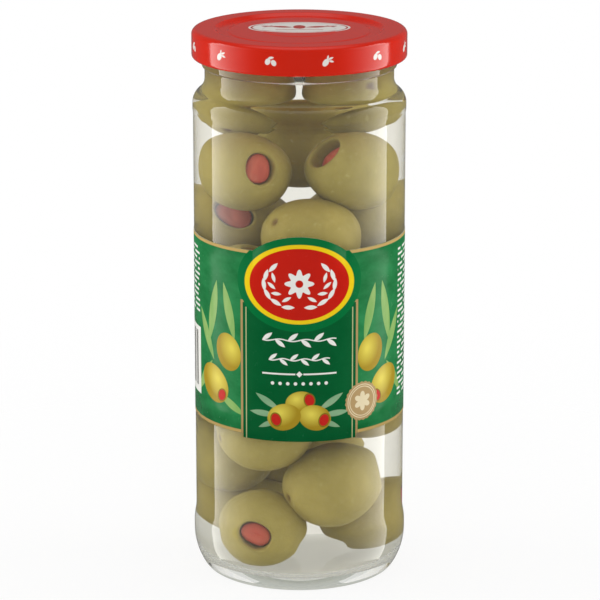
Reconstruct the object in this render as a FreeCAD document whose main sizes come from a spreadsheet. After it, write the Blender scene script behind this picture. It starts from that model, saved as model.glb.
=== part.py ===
import FreeCAD, Part
import Sketcher
import math
import os

# A tall glass jar of stuffed green olives: jar, metal lug cap, wrap label, brine and olives.
# Millimetres, +Z up, the base's ring on Z = 0 and the jar's axis on Z. The label faces -Y.

doc = FreeCAD.newDocument("olive_jar")

# Driving sizes: every one can be changed by itself.
SIZES = {
    # glass outside, from the base up
    "body_radius": 30.5,  # label panel
    "base_inset": 3.6,  # how far the base's corner lies inside the heel, before rounding
    "base_ring_round": 2.2,
    "base_ring_width": 4.6,
    "push_up_slope": 2.4,  # how far in the base's step runs
    "push_up_step": 1.3,
    "push_up_height": 2.0,
    "heel_proud": 0.6,  # heel band out from the label panel
    "heel_corner_height": 5.9,
    "heel_round": 18.0,
    "heel_top_height": 14.2,
    "heel_step_height": 3.3,  # slope from the heel band in to the label panel
    "shoulder_proud": 0.15,  # shoulder band out from the label panel
    "panel_step_height": 1.5,
    "shoulder_band_height": 3.7,
    "body_height": 141.2,  # corner where the shoulder turns in
    "shoulder_rise": 3.0,
    "shoulder_round": 4.6,
    "neck_radius": 27.1,
    "neck_length": 15.9,  # from the neck's foot to the rim
    "bead_proud": 0.8,
    "bead_above_foot": 5.4,
    "bead_height": 3.2,
    "bead_round": 0.6,
    # glass inside
    "body_wall": 2.4,
    "neck_wall": 2.7,
    "floor_height": 4.0,
    "floor_round": 9.0,
    "inner_shoulder_round": 4.0,
    # cap
    "cap_overhang": 3.7,  # cap's skirt out from the neck
    "cap_sheet": 0.4,
    "cap_skirt_height": 8.3,
    "cap_shoulder_round": 1.6,
    "curl_radius": 1.0,
    "channel_width": 5.0,  # flat ring of the cap that sits on the rim
    "panel_slope": 1.2,
    "panel_depth": 0.9,
    "panel_round": 0.5,
    # label
    "label_sheet": 0.12,
    "label_foot": 47.7,
    "label_height": 54.4,
    "label_wrap": 356.0,  # degrees round the jar
    "centre_panel_drop": 1.2,
    "centre_panel_angle": 64.0,  # degrees
    "plaque_rise": 45.6,  # from the label's foot to the middle of the oval that stands above its top
    "plaque_half_width": 17.4,
    "plaque_half_height": 13.4,
    # filling
    "headspace": 4.6,  # from the brine's surface up to the rim
    "olive_length": 28.0,
    "olive_width": 24.0,
    "olive_gap": 0.4,  # olives to glass
    "olive_tier_height": 22.5,
    "olive_core_radius": 19.0,
    "olive_cover": 4.0,  # brine over the topmost olive
    "olive_core_round": 8.0,  # how squarely the packed core's ends are rounded
}

sheet = doc.addObject("Spreadsheet::Sheet", "sizes")
for row, (alias, value) in enumerate(SIZES.items(), start=1):
    sheet.set(f"A{row}", alias)
    sheet.set(f"B{row}", str(value))
    sheet.setAlias(f"B{row}", alias)
doc.recompute()


TOLERANCE = 1e-4  # millimetres within which two places are the same


def size(expression):
    """The value of an expression on the sheet's cells."""
    return float(sheet.evalExpression(expression))


# Heights and radii that more than one piece takes, as expressions on the cells.
FOOT = "(sizes.body_height + sizes.shoulder_rise)"
RIM = f"({FOOT} + sizes.neck_length)"
CAP_TOP = f"({RIM} + sizes.cap_sheet)"
HEEL = "(sizes.body_radius + sizes.heel_proud)"
SHOULDER = "(sizes.body_radius + sizes.shoulder_proud)"
BASE_EDGE = f"({HEEL} - sizes.base_inset)"
BEAD = "(sizes.neck_radius + sizes.bead_proud)"
CAP = "(sizes.neck_radius + sizes.cap_overhang)"
INNER_BODY = "(sizes.body_radius - sizes.body_wall)"
INNER_NECK = "(sizes.neck_radius - sizes.neck_wall)"
BRINE_TOP = f"({RIM} - sizes.headspace)"


def bound_sketch(body, name, role, corners):
    """A closed sketch of straight lines on an origin plane, each corner tied to the sheet."""
    sketch = body.newObject("Sketcher::SketchObject", name)
    plane = next(part for part in body.Origin.OriginFeatures if part.Role == role)
    sketch.AttachmentSupport = [(plane, "")]
    sketch.MapMode = "FlatFace"
    places = [FreeCAD.Vector(size(across), size(up), 0) for across, up in corners]
    for start, end in zip(places, places[1:] + places[:1]):
        sketch.addGeometry(Part.LineSegment(start, end), False)
    count = len(corners)
    for line in range(count):
        sketch.addConstraint(Sketcher.Constraint("Coincident", line, 2, (line + 1) % count, 1))
    for line, (across, up) in enumerate(corners):
        for kind, expression in (("DistanceX", across), ("DistanceY", up)):
            number = sketch.addConstraint(Sketcher.Constraint(kind, -1, 1, line, 1, size(expression)))
            sketch.setExpression(f"Constraints[{number}]", expression)
    return sketch


def turned_body(name, corners, role="XZ_Plane", angle="360"):
    """A body turned about Z from a closed outline, evenly to both sides of its sketch."""
    body = doc.addObject("PartDesign::Body", name)
    sketch = bound_sketch(body, f"{name}_outline", role, corners)
    turn = body.newObject("PartDesign::Revolution", f"{name}_turn")
    turn.Profile = sketch
    turn.ReferenceAxis = (sketch, ["V_Axis"])
    turn.Midplane = True
    turn.setExpression("Angle", angle)
    doc.recompute()
    return body


def round_rings(body, name, radius, rings):
    """A fillet on the circular edges at the given (radius, height) expressions."""
    wanted = [(size(across), size(up)) for across, up in rings]
    names = []
    base = body.Tip
    for number, edge in enumerate(base.Shape.Edges, start=1):
        if not isinstance(edge.Curve, Part.Circle):
            continue
        for across, up in wanted:
            near = FreeCAD.Vector(edge.Curve.Radius - across, edge.Curve.Center.z - up, 0)
            if near.Length < TOLERANCE:
                names.append(f"Edge{number}")
    if len(names) != len(rings):
        raise RuntimeError(f"{name}: {len(names)} edges found of {len(rings)}")
    fillet = body.newObject("PartDesign::Fillet", name)
    fillet.Base = (base, names)
    fillet.setExpression("Radius", radius)
    doc.recompute()
    return fillet


# Glass blank: the jar's outside as one turned solid.
heel_band_top = "(sizes.heel_top_height)"
panel_foot = "(sizes.heel_top_height + sizes.heel_step_height)"
band_foot = "(sizes.body_height - sizes.shoulder_band_height)"
panel_head = f"({band_foot} - sizes.panel_step_height)"
bead_foot = f"({FOOT} + sizes.bead_above_foot)"
bead_head = f"({bead_foot} + sizes.bead_height)"
ring_inner = f"({BASE_EDGE} - sizes.base_ring_round - sizes.base_ring_width)"
step_inner = f"({ring_inner} - sizes.push_up_slope)"

base_corner = (BASE_EDGE, "0")
heel_corner = (HEEL, "sizes.heel_corner_height")
heel_top = (HEEL, heel_band_top)
panel_bottom = ("sizes.body_radius", panel_foot)
panel_top = ("sizes.body_radius", panel_head)
shoulder_foot = (SHOULDER, band_foot)
shoulder_corner = (SHOULDER, "sizes.body_height")
neck_foot = ("sizes.neck_radius", FOOT)
bead_low = (BEAD, bead_foot)
bead_high = (BEAD, bead_head)

blank = turned_body(
    "glass_blank",
    [
        ("0", "sizes.push_up_height"),
        (step_inner, "sizes.push_up_step"),
        (ring_inner, "0"),
        base_corner,
        heel_corner,
        heel_top,
        panel_bottom,
        panel_top,
        shoulder_foot,
        shoulder_corner,
        neck_foot,
        ("sizes.neck_radius", bead_foot),
        bead_low,
        bead_high,
        ("sizes.neck_radius", bead_head),
        ("sizes.neck_radius", RIM),
        ("0", RIM),
    ],
)
round_rings(blank, "shoulder_rounding", "sizes.shoulder_round", [shoulder_corner, neck_foot])
round_rings(blank, "heel_rounding", "sizes.heel_round", [heel_corner])
round_rings(blank, "base_rounding", "sizes.base_ring_round", [base_corner])
round_rings(blank, "bead_rounding", "sizes.bead_round", [bead_low, bead_high])

# Cavity: the space inside the glass, which the jar loses and the brine fills.
inner_foot = f"({FOOT} - sizes.body_wall / 2)"
inner_shoulder = "(sizes.body_height - sizes.body_wall / 2)"
floor_corner = (INNER_BODY, "sizes.floor_height")
inner_low = (INNER_BODY, inner_shoulder)
inner_high = (INNER_NECK, inner_foot)
cavity = turned_body(
    "cavity",
    [
        ("0", "sizes.floor_height"),
        floor_corner,
        inner_low,
        inner_high,
        (INNER_NECK, RIM),
        ("0", RIM),
    ],
)
round_rings(cavity, "floor_rounding", "sizes.floor_round", [floor_corner])
round_rings(cavity, "inner_shoulder_rounding", "sizes.inner_shoulder_round", [inner_low, inner_high])

jar = doc.addObject("Part::Cut", "jar")
jar.Base = blank
jar.Tool = cavity
jar.Label = "glass_jar"

# Cap: pressed sheet over the rim, with a raised ring, a sunk panel and a curled hem.
cap_inner = f"({CAP} - sizes.cap_sheet)"
ring_edge = f"({CAP} - sizes.cap_shoulder_round - sizes.channel_width)"
panel_edge = f"({ring_edge} - sizes.panel_slope)"
cap_bottom = f"({CAP_TOP} - sizes.cap_skirt_height)"
curl_height = f"({cap_bottom} + sizes.curl_radius)"
cap_corner = (CAP, CAP_TOP)
cap = turned_body(
    "cap",
    [
        ("0", f"({CAP_TOP} - sizes.panel_depth)"),
        (panel_edge, f"({CAP_TOP} - sizes.panel_depth)"),
        (ring_edge, CAP_TOP),
        cap_corner,
        (CAP, curl_height),
        (cap_inner, curl_height),
        (cap_inner, RIM),
        (ring_edge, RIM),
        (panel_edge, f"({RIM} - sizes.panel_depth)"),
        ("0", f"({RIM} - sizes.panel_depth)"),
    ],
)
round_rings(cap, "cap_rounding", "sizes.cap_shoulder_round", [cap_corner])
round_rings(
    cap,
    "panel_rounding",
    "sizes.panel_round",
    [(ring_edge, CAP_TOP), (panel_edge, f"({CAP_TOP} - sizes.panel_depth)")],
)
curl = doc.addObject("Part::Torus", "curl")
curl.setExpression("Radius1", f"{CAP} - sizes.curl_radius")
curl.setExpression("Radius2", "sizes.curl_radius")
curl.setExpression("Placement.Base.z", curl_height)
lid = doc.addObject("Part::MultiFuse", "lid_sheet")
lid.Shapes = [cap, curl]
lid.Label = "lid"

# Label: a thin wrap on the glass, with a lower centre panel and an oval above its top edge.
label_in = "(-sizes.body_radius)"
label_out = "(-sizes.body_radius - sizes.label_sheet)"
label_top = "(sizes.label_foot + sizes.label_height)"


def label_ring(name, low, high, angle):
    """A stretch of the label's sheet, centred on the front."""
    corners = [(label_in, low), (label_out, low), (label_out, high), (label_in, high)]
    return turned_body(name, corners, role="YZ_Plane", angle=angle)


panel_low = "(sizes.label_foot - sizes.centre_panel_drop)"
oval_middle = "(sizes.label_foot + sizes.plaque_rise)"
oval_top = f"({oval_middle} + sizes.plaque_half_height)"
wrap = label_ring("wrap", "sizes.label_foot", label_top, "sizes.label_wrap")
centre_panel = label_ring("centre_panel", panel_low, label_top, "sizes.centre_panel_angle")
plaque_ring = label_ring("plaque_ring", "sizes.label_foot", oval_top, "180")
oval = doc.addObject("Part::Cylinder", "oval_rod")
oval.Radius = 1
oval.setExpression("Height", "sizes.body_radius * 2")
doc.recompute()

# The oval is the unit rod stretched to the plaque's half width and half height, lying along -Y.
stretch = FreeCAD.Matrix()
stretch.scale(FreeCAD.Vector(size("sizes.plaque_half_width"), size("sizes.plaque_half_height"), 1))
lay_down = FreeCAD.Rotation(FreeCAD.Vector(1, 0, 0), 90)
oval_solid = doc.addObject("Part::Feature", "plaque_oval")
oval_solid.Shape = oval.Shape.transformGeometry(stretch)
oval_solid.Placement = FreeCAD.Placement(FreeCAD.Vector(0, 0, size(oval_middle)), lay_down)
plaque = doc.addObject("Part::Common", "plaque")
plaque.Base = plaque_ring
plaque.Tool = oval_solid
label = doc.addObject("Part::MultiFuse", "label_sheet_whole")
label.Shapes = [wrap, centre_panel, plaque]
label.Refine = True
label.Label = "label"


def sway(number, swing):
    """An uneven but fixed share between -swing and swing for the olive of this number."""
    return swing * math.sin(12.9898 * number + 4.1)


BULK_SWING = 0.05  # olives differ by this share: a longer one is as much slimmer
SWING_UP = 3.0  # how far an olive may lie above its tier, in millimetres
SWING_ROUND = 9.0  # and round from its even place, in degrees
TIER_TURN = 40  # each tier is turned on from the one below, in degrees
FIRST_TURN = -30


class Olive:
    """An ellipsoid, long on its own Z, lying against the wall of a round space."""

    def __init__(self, number, heading, height, room):
        bulk = 1 + sway(number, BULK_SWING)
        self.half = FreeCAD.Vector(1, 1, 0) * (size("sizes.olive_width") / 2 * (2 - bulk))
        self.half.z = size("sizes.olive_length") / 2 * bulk
        outward = FreeCAD.Vector(math.cos(heading), math.sin(heading), 0)
        upright = FreeCAD.Vector(0, 0, 1)
        lean = FreeCAD.Rotation(outward, 90 * sway(3 * number, 1))
        self.turn = lean.multiply(FreeCAD.Rotation(upright, outward.cross(upright)))
        self.place = outward * (room - size("sizes.olive_gap") - self.reach(outward))
        self.place.z = height

    def reach(self, direction):
        """How far the olive's skin stands out from its centre in a direction."""
        local = self.turn.inverted().multVec(direction)
        return FreeCAD.Vector(local.x * self.half.x, local.y * self.half.y, local.z * self.half.z).Length

    def skin(self, heading, height):
        """Where the level line out from the jar's axis leaves the olive, or 0 if it misses."""
        back = self.turn.inverted()
        start = back.multVec(FreeCAD.Vector(0, 0, height) - self.place)
        step = back.multVec(FreeCAD.Vector(math.cos(heading), math.sin(heading), 0))
        start = FreeCAD.Vector(start.x / self.half.x, start.y / self.half.y, start.z / self.half.z)
        step = FreeCAD.Vector(step.x / self.half.x, step.y / self.half.y, step.z / self.half.z)
        along = start.dot(step)
        inside = along**2 - step.dot(step) * (start.dot(start) - 1)
        if inside < 0:
            return 0.0
        return max(0.0, (math.sqrt(inside) - along) / step.dot(step))


# Olives: tiers of three and four against the wall, taken as one heap out to its uneven outline.
floor = size("sizes.floor_height")
gap = size("sizes.olive_gap")
heap_top = size(BRINE_TOP) - size("sizes.olive_cover")
half_length = size("sizes.olive_length") / 2 * (1 + BULK_SWING)
lowest = floor + size("sizes.floor_round") / 3 + size("sizes.olive_width") / 2
tier_height = size("sizes.olive_tier_height")
tiers = int((heap_top - half_length - lowest) / tier_height) + 1
neck_start = size(inner_shoulder) - size("sizes.inner_shoulder_round")
heap = []
for tier in range(tiers):
    per_tier = 3 + tier % 2
    for step in range(per_tier):
        number = len(heap)
        even = 360 * step / per_tier + TIER_TURN * tier + FIRST_TURN
        heading = math.radians(even + sway(number, SWING_ROUND))
        height = lowest + tier * tier_height + abs(sway(7 * number, SWING_UP))
        room = size(INNER_NECK if height + half_length > neck_start else INNER_BODY)
        heap.append(Olive(number, heading, height, room))

ROWS = 64  # rings of poles up the heap
COLUMNS = 48  # poles round a ring
heap_foot = floor + gap
heap_head = max(fruit.place.z + fruit.reach(FreeCAD.Vector(0, 0, 1)) for fruit in heap)
core = size("sizes.olive_core_radius")
core_round = size("sizes.olive_core_round")
END_SHARE = 0.02  # what the core's radius keeps, squared, at its very ends


def heap_radius(heading, height):
    """The heap's outline: the outermost olive skin, or the packed core between the olives."""
    share = 2 * (height - heap_foot) / (heap_head - heap_foot) - 1
    rounded_core = core * (1 + END_SHARE - abs(share) ** core_round) ** 0.5
    return max([rounded_core] + [fruit.skin(heading, height) for fruit in heap])


poles = []
for row in range(ROWS):
    height = heap_foot + (heap_head - heap_foot) * row / (ROWS - 1)
    ring = []
    for column in range(COLUMNS):
        heading = 2 * math.pi * column / COLUMNS
        out = heap_radius(heading, height)
        ring.append(FreeCAD.Vector(out * math.cos(heading), out * math.sin(heading), height))
    poles.append(ring)

# A cubic surface over the rings of poles: open up the heap, closed round it.
surface = Part.BSplineSurface()
CUBIC = 3
up_knots = list(range(ROWS - CUBIC + 1))
up_counts = [CUBIC + 1] + [1] * (ROWS - CUBIC - 1) + [CUBIC + 1]
round_knots = list(range(COLUMNS + 1))
round_counts = [1] * (COLUMNS + 1)
surface.buildFromPolesMultsKnots(
    poles, up_counts, round_counts, up_knots, round_knots, False, True, CUBIC, CUBIC
)
side = surface.toShape()
caps = []
for edge in side.Edges:
    if edge.isClosed() and edge.BoundBox.ZLength < TOLERANCE:
        cap_face = Part.Face(Part.Wire([edge]))
        outward = edge.BoundBox.ZMin - (heap_foot + heap_head) / 2
        if cap_face.normalAt(0, 0).z * outward < 0:
            cap_face.reverse()
        caps.append(cap_face)
heap_solid = Part.Solid(Part.Shell([side] + caps))
heap_solid.fix(TOLERANCE, TOLERANCE, TOLERANCE)
olives = doc.addObject("Part::Feature", "olives")
olives.Shape = heap_solid
olives.Label = "olives"

# Brine: the cavity up to the brine's surface, less the olives.
level = doc.addObject("Part::Cylinder", "brine_level")
level.setExpression("Radius", "sizes.body_radius")
level.setExpression("Height", BRINE_TOP)
liquid = doc.addObject("Part::Common", "liquid")
liquid.Base = cavity
liquid.Tool = level
brine = doc.addObject("Part::Cut", "liquid_round_olives")
brine.Base = liquid
brine.Tool = olives
brine.Label = "brine"

doc.recompute()

nodes = [jar, lid, label, olives, brine]
for part in doc.Objects:
    if "Invalid" in part.State or "Error" in part.State:
        raise RuntimeError(f"{part.Name} failed: {part.State}")
for node in nodes:
    shape = node.Shape
    if shape.isNull() or not shape.isValid() or len(shape.Solids) != 1:
        raise RuntimeError(f"{node.Label} isn't one valid solid: {len(shape.Solids)} solids")

os.makedirs("parts", exist_ok=True)
for node in nodes:
    node.Shape.exportStep(os.path.join("parts", f"{node.Label}.step"))
    box = node.Shape.BoundBox
    print(f"{node.Label}: {node.Shape.Volume / 1000:.1f} cm3, z {box.ZMin:.2f} to {box.ZMax:.2f}")
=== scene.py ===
import math

import bpy
import numpy as np
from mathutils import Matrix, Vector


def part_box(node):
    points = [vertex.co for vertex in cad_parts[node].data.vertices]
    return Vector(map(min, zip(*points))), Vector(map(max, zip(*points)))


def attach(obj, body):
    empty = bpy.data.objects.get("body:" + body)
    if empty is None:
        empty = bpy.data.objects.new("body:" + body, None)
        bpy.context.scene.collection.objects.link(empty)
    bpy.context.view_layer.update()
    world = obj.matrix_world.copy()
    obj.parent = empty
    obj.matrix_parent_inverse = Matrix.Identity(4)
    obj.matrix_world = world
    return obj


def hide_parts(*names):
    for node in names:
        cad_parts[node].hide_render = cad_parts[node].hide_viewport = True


# A tall glass jar of stuffed green olives: jar, metal cap, paper wrap, brine, olives, pimiento.
# Shapes are worked out in millimetres and go into the meshes in metres.

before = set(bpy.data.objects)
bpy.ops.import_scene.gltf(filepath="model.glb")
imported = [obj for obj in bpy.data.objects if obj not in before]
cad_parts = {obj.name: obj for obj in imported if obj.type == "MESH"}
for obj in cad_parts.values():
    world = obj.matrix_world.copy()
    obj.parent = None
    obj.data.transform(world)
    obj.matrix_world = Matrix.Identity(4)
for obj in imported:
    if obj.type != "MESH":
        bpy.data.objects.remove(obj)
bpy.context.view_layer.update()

MM = 0.001
FULL_TURN = 2 * math.pi

# Sizes of the frame's pieces, in millimetres.
LID_LOW, LID_TOP = (corner[2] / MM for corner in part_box("lid"))
JAR_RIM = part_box("glass_jar")[1][2] / MM
LABEL_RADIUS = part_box("label")[1][0] / MM
FLOOR, BRINE_TOP = (corner[2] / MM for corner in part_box("brine"))

BODY_RADIUS = 30.5
BODY_INSIDE = 28.1
NECK_INSIDE = 24.4
SHOULDER_FOOT = 140.0
NECK_FOOT = 143.0


# ---------------------------------------------------------------- meshes


def rounded_profile(corners, step=1.5, arc_step=math.radians(4)):
    """Points along a profile of straights whose corners (radius, height, rounding) are rounded.

    At a corner where the path turns by a, the straights are trimmed by rounding * tan(a / 2),
    and the arc between is the weighted sum of its two end radii, with weights
    sin((1 - s) a) / sin a and sin(s a) / sin a. Long straights are divided evenly.
    """
    corners = np.array(corners, float)
    places = corners[:, :2]
    runs = [places[:1]]
    for before, here, after, rounding in zip(places, places[1:], places[2:], corners[1:-1, 2]):
        back = (before - here) / np.linalg.norm(before - here)
        on = (after - here) / np.linalg.norm(after - here)
        turn = math.pi - math.acos(np.clip(back @ on, -1, 1))
        middle = (back + on) / np.linalg.norm(back + on)
        centre = here + middle * rounding / math.cos(turn / 2)
        trim = rounding * math.tan(turn / 2)
        share = np.linspace(0, 1, max(3, math.ceil(turn / arc_step) + 1))[:, None]
        first, last = here + back * trim - centre, here + on * trim - centre
        swung = np.sin((1 - share) * turn) * first + np.sin(share * turn) * last
        runs.append(centre + swung / math.sin(turn))
    path = np.concatenate(runs + [places[-1:]])
    lengths = np.linalg.norm(np.diff(path, axis=0), axis=1)
    counts = np.maximum(1, np.ceil(lengths / step)).astype(int)
    stops = np.repeat(np.arange(len(counts)), counts)
    within = np.arange(len(stops)) - np.repeat(np.cumsum(counts) - counts, counts)
    stops = np.append(stops + within / np.repeat(counts, counts), len(path) - 1)
    return np.column_stack([np.interp(stops, np.arange(len(path)), path[:, k]) for k in (0, 1)])


def turned_grid(profile, columns=224):
    """A profile turned about Z: (r, z) at heading t becomes (r cos t, r sin t, z)."""
    heading = FULL_TURN * np.arange(columns) / columns
    around = np.stack([np.cos(heading), np.sin(heading)], axis=-1)
    flat = profile[:, None, :1] * around
    up = np.broadcast_to(profile[:, None, 1:], flat.shape[:2] + (1,))
    return np.concatenate([flat, up], axis=-1)


def ring_faces(rows, columns, first=0):
    """Faces over rows of closed rings, between one pole point before them and one after.

    The points are pole, rings, pole. A ring's point (i, j) joins (i, j + 1), (i + 1, j + 1) and
    (i + 1, j); the outermost rings join their pole in triangles.
    """
    j = np.arange(columns)
    k = (j + 1) % columns
    base = first + 1 + columns * np.arange(rows - 1)[:, None]
    quads = np.stack([base + j, base + k, base + columns + k, base + columns + j], axis=-1)
    quads = quads.reshape(-1, 4)
    last = first + 1 + columns * (rows - 1)
    opening = np.stack([np.full(columns, first), first + 1 + k, first + 1 + j], axis=-1)
    closing = np.stack([np.full(columns, last + columns), last + j, last + k], axis=-1)
    return quads, np.concatenate([opening, closing])


def new_piece(name, points, quads, triangles, materials, slots=None, smooth=True):
    """An object at the origin from points in millimetres and faces, in metres."""
    mesh = bpy.data.meshes.new(name)
    mesh.from_pydata((points * MM).tolist(), [], quads.tolist() + triangles.tolist())
    for material in materials:
        mesh.materials.append(material)
    if slots is not None:
        mesh.polygons.foreach_set("material_index", slots.astype(np.int32))
    mesh.polygons.foreach_set("use_smooth", np.full(len(mesh.polygons), smooth))
    mesh.update()
    piece = bpy.data.objects.new(name, mesh)
    bpy.context.scene.collection.objects.link(piece)
    return piece


def lathe(name, profile, materials, bands=None, columns=224):
    """A closed piece turned from a profile whose first and last points are on the axis.

    bands gives the material slot of each stretch between two profile points.
    """
    grid = turned_grid(profile[1:-1], columns)
    low, high = [[0, 0, profile[0, 1]]], [[0, 0, profile[-1, 1]]]
    points = np.concatenate([low, grid.reshape(-1, 3), high])
    quads, triangles = ring_faces(len(grid), columns)
    slots = None
    if bands is not None:
        slots = np.repeat(np.concatenate([bands[1:-1], bands[:1], bands[-1:]]), columns)
    return new_piece(name, points, quads, triangles, materials, slots)


# ---------------------------------------------------------------- shader maths


def ink(red, green, blue):
    """A colour given in 0 to 255 screen values, as the linear colour a shader takes."""
    screen = np.array([red, green, blue]) / 255
    linear = np.where(screen <= 0.04045, screen / 12.92, ((screen + 0.055) / 1.055) ** 2.4)
    return tuple(linear.tolist()) + (1.0,)


class Wire:
    """A number that varies over a surface: arithmetic on it adds Math nodes to its tree."""

    def __init__(self, paint, socket):
        self.paint = paint
        self.socket = socket

    def math(self, operation, *others, clamp=False):
        return self.paint.math(operation, self, *others, clamp=clamp)

    def __add__(self, other):
        return self.math("ADD", other)

    __radd__ = __add__

    def __sub__(self, other):
        return self.math("SUBTRACT", other)

    def __rsub__(self, other):
        return self.paint.math("SUBTRACT", other, self)

    def __mul__(self, other):
        return self.math("MULTIPLY", other)

    __rmul__ = __mul__

    def __truediv__(self, other):
        return self.math("DIVIDE", other)

    def __abs__(self):
        return self.math("ABSOLUTE")

    def __pow__(self, other):
        return self.math("POWER", other)

    def low(self, other):
        """The smaller of the two."""
        return self.math("MINIMUM", other)

    def high(self, other):
        """The larger of the two."""
        return self.math("MAXIMUM", other)

    def ramp(self, start, end, smooth=False):
        """0 up to start and 1 from end, straight or smooth between."""
        settings = {"interpolation_type": "SMOOTHSTEP" if smooth else "LINEAR"}
        node = self.paint.node("ShaderNodeMapRange", settings, {0: self, 1: start, 2: end})
        return Wire(self.paint, node.outputs[0])


class Paint:
    """A node tree being written: of a material, the world or a lamp."""

    def __init__(self, tree):
        self.tree = tree
        tree.nodes.clear()

    def node(self, kind, settings=(), inputs=()):
        """A new node: first its settings, then the values or links of its sockets."""
        made = self.tree.nodes.new(kind)
        for name, value in dict(settings).items():
            setattr(made, name, value)
        for key, value in dict(inputs).items():
            if isinstance(value, Wire):
                value = value.socket
            if isinstance(value, bpy.types.NodeSocket):
                self.tree.links.new(value, made.inputs[key])
            else:
                made.inputs[key].default_value = value
        return made

    def math(self, operation, *values, clamp=False):
        settings = {"operation": operation, "use_clamp": clamp}
        node = self.node("ShaderNodeMath", settings, dict(enumerate(values)))
        return Wire(self, node.outputs[0])

    def mix(self, share, first, second):
        """The first colour where share is 0 and the second where it is 1."""
        node = self.node("ShaderNodeMix", {"data_type": "RGBA"}, {0: share, 6: first, 7: second})
        return node.outputs[2]

    def attribute(self, name):
        """A mesh attribute as a number."""
        node = self.node("ShaderNodeAttribute", {"attribute_name": name})
        return Wire(self, node.outputs["Fac"])

    def mix_shader(self, share, first, second):
        return self.node("ShaderNodeMixShader", (), {0: share, 1: first, 2: second}).outputs[0]

    def ray(self, question):
        """Light Path's answer, such as Is Shadow Ray."""
        return self.node("ShaderNodeLightPath").outputs[question]

    def place(self):
        """The object coordinates as three numbers, in millimetres."""
        source = self.node("ShaderNodeTexCoord").outputs["Object"]
        sized = self.node("ShaderNodeVectorMath", {"operation": "SCALE"}, {0: source, 3: 1 / MM})
        parts = self.node("ShaderNodeSeparateXYZ", (), {0: sized.outputs[0]})
        return [Wire(self, out) for out in parts.outputs]

    def noise(self, scale, detail=2.0, rough=0.5, stretch=(1, 1, 1)):
        """Noise in 0 to 1 on the object coordinates, with scale features a metre."""
        source = self.node("ShaderNodeTexCoord").outputs["Object"]
        laid = self.node("ShaderNodeMapping", (), {0: source, 3: stretch})
        inputs = {
            "Vector": laid.outputs[0],
            "Scale": scale,
            "Detail": detail,
            "Roughness": rough,
            "Distortion": 0.0,
        }
        return Wire(self, self.node("ShaderNodeTexNoise", (), inputs).outputs[0])

    def bump(self, height, distance, strength=1.0, under=None):
        """A bump of the given depth in millimetres, over another bump if there is one."""
        inputs = {"Height": height, "Distance": distance * MM, "Strength": strength}
        if under is not None:
            inputs["Normal"] = under
        return self.node("ShaderNodeBump", (), inputs).outputs[0]

    def principled(self, **inputs):
        named = {name.replace("_", " "): value for name, value in inputs.items()}
        return self.node("ShaderNodeBsdfPrincipled", (), named).outputs[0]

    def surface(self, shader):
        self.node("ShaderNodeOutputMaterial", (), {0: shader})


def new_material(name):
    """A named material with an empty node tree, and the paint that writes it."""
    material = bpy.data.materials.new(name)
    material.use_nodes = True
    return material, Paint(material.node_tree)


# ---------------------------------------------------------------- glass and brine


def clear_material(name, kind, colour, ior, ripple, haze=0.0):
    """A clear material. Light on its way to what lies inside passes straight through.

    haze is the share of light that a cloudy liquid scatters back at its skin.
    """
    material, paint = new_material(name)
    waves = paint.noise(45, detail=1.0, stretch=(1, 1, 0.6))
    normal = paint.bump(waves, ripple)
    inputs = {"Color": colour, "Roughness": 0.0, "IOR": ior, "Normal": normal}
    clear = paint.node(kind, (), inputs).outputs[0]
    if haze:
        cloud = paint.node("ShaderNodeBsdfDiffuse", (), {0: (0.95, 0.93, 0.9, 1)}).outputs[0]
        clear = paint.mix_shader(haze, clear, cloud)
    open_way = paint.node("ShaderNodeBsdfTransparent", (), {0: colour}).outputs[0]
    lit = paint.mix_shader(paint.ray("Is Shadow Ray"), clear, open_way)
    paint.surface(paint.mix_shader(paint.ray("Is Diffuse Ray"), lit, open_way))
    return material


# Refractive indices, colours of clear things, and the brine's cloudiness.
GLASS, BRINE, STRAIGHT_ON = 1.5, 1.34, 1.0
# The foot's grey tint is painted shade that darkens the jar's lowest edge.
FLINT, FOOT_SHADE_GREY, NO_TINT = (0.972, 0.975, 0.962, 1), (0.82, 0.83, 0.81, 1), (1, 1, 1, 1)
BRINE_TINT = (0.985, 0.975, 0.945, 1)
HAZE = 0.045
SOLID_BEND, SKIN_BEND = "ShaderNodeBsdfGlass", "ShaderNodeBsdfRefraction"

glass_clear = clear_material("flint_glass", SOLID_BEND, FLINT, GLASS, 0.05)
# Where brine wets the wall, the light turns at the brine's skin alone, from glass to brine; in
# the stippled foot and the shoulder's inside it goes straight on.
glass_wetted = clear_material("flint_glass_wetted", SKIN_BEND, NO_TINT, STRAIGHT_ON, 0.0)
# the grey tint of this foot glass is painted shade along the jar's lowest edge
glass_foot = clear_material("flint_glass_foot", SKIN_BEND, FOOT_SHADE_GREY, STRAIGHT_ON, 0.0)
brine_skin = clear_material("brine", SOLID_BEND, BRINE_TINT, BRINE / GLASS, 0.0, HAZE)
brine_shoulder = clear_material(
    "brine_shoulder", SKIN_BEND, BRINE_TINT, STRAIGHT_ON, 0.0, HAZE
)
brine_surface = clear_material("brine_surface", SOLID_BEND, BRINE_TINT, BRINE, 0.1)

outside = [
    (0, 2.0, 0),
    (18.3, 1.3, 0.8),
    (20.7, 0, 0.8),
    (27.5, 0, 2.2),
    (31.1, 5.9, 18),
    (31.1, 14.2, 14),
    (30.5, 17.5, 14),
    (30.5, 136.0, 1.0),
    (30.65, 137.5, 1.0),
    (30.65, 141.2, 4.6),
    (27.1, 144.2, 4.6),
    (27.1, 149.6, 0.3),
    (27.9, 149.6, 0.6),
    (27.9, 152.8, 0.6),
    (27.1, 152.8, 0.3),
    (27.1, JAR_RIM - 0.05, 0.8),
]
inside = [
    (NECK_INSIDE, JAR_RIM - 0.05, 0.8),
    (NECK_INSIDE, NECK_FOOT, 4.0),
    (BODY_INSIDE, SHOULDER_FOOT, 4.0),
    (BODY_INSIDE, FLOOR, 9.0),
    (0, FLOOR, 0),
]
glass_profile = rounded_profile(outside + inside)
PUSH_UP_RADIUS = 21.0
FOOT_HEIGHT = 1.6
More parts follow.
